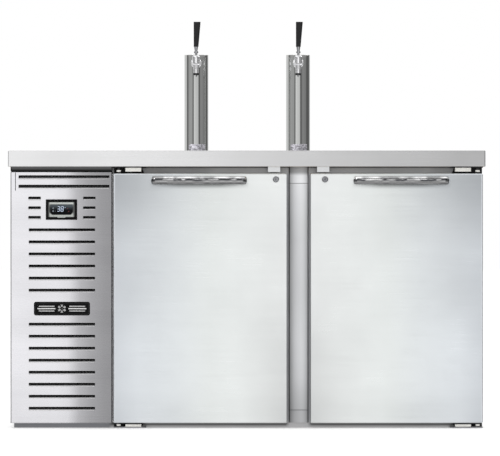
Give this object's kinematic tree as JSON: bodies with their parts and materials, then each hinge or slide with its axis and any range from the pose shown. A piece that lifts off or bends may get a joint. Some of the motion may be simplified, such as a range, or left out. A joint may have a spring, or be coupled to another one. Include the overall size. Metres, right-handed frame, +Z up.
{
  "type": "kegerator",
  "caption": "Back-bar beer cooler with hinged stainless doors, a louvred condensing-unit bay and polished draught towers with pull taps.",
  "frame": {"origin": "on the floor, at the centre of the overall footprint", "axes": "+X to the right seen from the front, +Y from the doors to the back, +Z up"},
  "size_m": [1.499, 0.643, 1.284],
  "materials": {
    "brushed_steel": "vertically brushed stainless sheet",
    "door_steel": "satin stainless sheet",
    "worktop_steel": "satin stainless sheet",
    "polished_steel": "mirror-polished stainless",
    "chrome": "bright chrome plate",
    "zinc_steel": "galvanised sheet",
    "black_metal": "black powder coat",
    "zinc_screw": "zinc-plated",
    "steel_pin": "bright steel",
    "strike_steel": "satin steel",
    "aluminium_fin": "mill finish",
    "copper": "bare copper",
    "compressor_black": "gloss black enamel",
    "fan_plastic": "moulded",
    "black_plastic": "moulded, fine texture",
    "tap_black": "moulded, satin",
    "grey_plastic": "moulded",
    "display_glass": "dark smoked lens",
    "key_rubber": "moulded key",
    "badge_black": "plain plate",
    "white_nylon": "moulded nylon",
    "foam": "light rigid polyurethane foam",
    "core_board": "moisture-resistant board",
    "gasket_rubber": "soft magnetic gasket",
    "liner_sheet": "stucco-free sheet",
    "beer_tube": "food-grade vinyl"
  },
  "bodies": {
    "cabinet": {"worktop": "worktop_steel", "worktop_core": "core_board", "side_panels": "brushed_steel", "rear_panel": "zinc_steel", "base_frame": "zinc_steel", "insulation": "foam", "liner": "liner_sheet", "front_frame": "brushed_steel", "mullion": "brushed_steel", "mullion_cover": "brushed_steel", "grille": "brushed_steel", "badge": "badge_black", "control_bezel": "black_plastic", "control_unit": "grey_plastic", "display_lens": "display_glass", "hinge_brackets": "black_metal", "hinge_pins": "steel_pin", "hinge_blocks": "white_nylon", "bracket_screws": "zinc_screw", "lock_strikes": "strike_steel", "unit_tray": "zinc_steel", "compressor": "compressor_black", "compressor_mounts": "gasket_rubber", "condenser_coil": "aluminium_fin", "condenser_shroud": "zinc_steel", "fan_motors": "zinc_steel", "refrigerant_lines": "copper", "condensate_pan": "zinc_steel", "evaporator_coil": "aluminium_fin", "evaporator_cover": "liner_sheet", "cord_gland": "black_plastic", "tower_columns": "polished_steel", "tower_caps": "polished_steel", "tower_insulation": "foam", "faucet_shanks": "chrome", "beer_lines": "beer_tube", "faucet_bodies": "chrome", "faucet_bonnets": "chrome"},
    "condenser_fan": {"condenser_fan": "fan_plastic"},
    "evaporator_fan": {"evaporator_fan": "fan_plastic"},
    "key_up": {"key_up": "key_rubber"},
    "key_down": {"key_down": "key_rubber"},
    "door_left": {"door_skin_left": "door_steel", "door_core_left": "foam", "door_liner_left": "liner_sheet", "door_gasket_left": "gasket_rubber", "door_handle_left": "chrome"},
    "lock_left": {"door_lock_left": "chrome"},
    "tap_left": {"tap_lever_left": "chrome", "tap_handle_left": "tap_black"},
    "plunger_left": {"plunger_left": "strike_steel"},
    "door_right": {"door_skin_right": "door_steel", "door_core_right": "foam", "door_liner_right": "liner_sheet", "door_gasket_right": "gasket_rubber", "door_handle_right": "chrome"},
    "lock_right": {"door_lock_right": "chrome"},
    "tap_right": {"tap_lever_right": "chrome", "tap_handle_right": "tap_black"},
    "plunger_right": {"plunger_right": "strike_steel"}
  },
  "joints": [
    {"name": "door_left_hinge", "type": "hinge", "parent": "cabinet", "child": "door_left", "pos_m": [-0.402, -0.2755, 0.408], "axis": [0, 0, -1], "range_deg": [0, 110], "stiffness_Nm_per_rad": 1},
    {"name": "door_right_hinge", "type": "hinge", "parent": "cabinet", "child": "door_right", "pos_m": [0.7255, -0.2755, 0.408], "axis": [0, 0, 1], "range_deg": [0, 110], "stiffness_Nm_per_rad": 1},
    {"name": "lock_left_turn", "type": "hinge", "parent": "door_left", "child": "lock_left", "pos_m": [0.0917, -0.2855, 0.7816], "axis": [0, 1, 0], "range_deg": [0, 90]},
    {"name": "lock_right_turn", "type": "hinge", "parent": "door_right", "child": "lock_right", "pos_m": [0.246, -0.2855, 0.7816], "axis": [0, 1, 0], "range_deg": [0, 90]},
    {"name": "tap_left_pull", "type": "hinge", "parent": "cabinet", "child": "tap_left", "pos_m": [-0.161, -0.0835, 1.169], "axis": [1, 0, 0], "range_deg": [0, 25]},
    {"name": "plunger_left_slide", "type": "slide", "parent": "cabinet", "child": "plunger_left", "axis": [0, 1, 0], "range_m": [0, 0.0052]},
    {"name": "tap_right_pull", "type": "hinge", "parent": "cabinet", "child": "tap_right", "pos_m": [0.164, -0.0835, 1.169], "axis": [1, 0, 0], "range_deg": [0, 25]},
    {"name": "plunger_right_slide", "type": "slide", "parent": "cabinet", "child": "plunger_right", "axis": [0, 1, 0], "range_m": [0, 0.0052]},
    {"name": "key_up_press", "type": "slide", "parent": "cabinet", "child": "key_up", "axis": [0, 1, 0], "range_m": [0, 0.0008], "stiffness_N_per_m": 500},
    {"name": "key_down_press", "type": "slide", "parent": "cabinet", "child": "key_down", "axis": [0, 1, 0], "range_m": [0, 0.0008], "stiffness_N_per_m": 500},
    {"name": "condenser_fan_spin", "type": "hinge", "parent": "cabinet", "child": "condenser_fan", "pos_m": [-0.584, -0.096, 0.18], "axis": [0, 1, 0], "continuous": true},
    {"name": "evaporator_fan_spin", "type": "hinge", "parent": "cabinet", "child": "evaporator_fan", "pos_m": [-0.318, 0.04, 0.65], "axis": [1, 0, 0], "continuous": true}
  ],
  "couplings": [
    {"joint": "plunger_left_slide", "follows": "tap_left_pull", "m_per_rad": 0.0115},
    {"joint": "plunger_right_slide", "follows": "tap_right_pull", "m_per_rad": 0.0115}
  ]
}
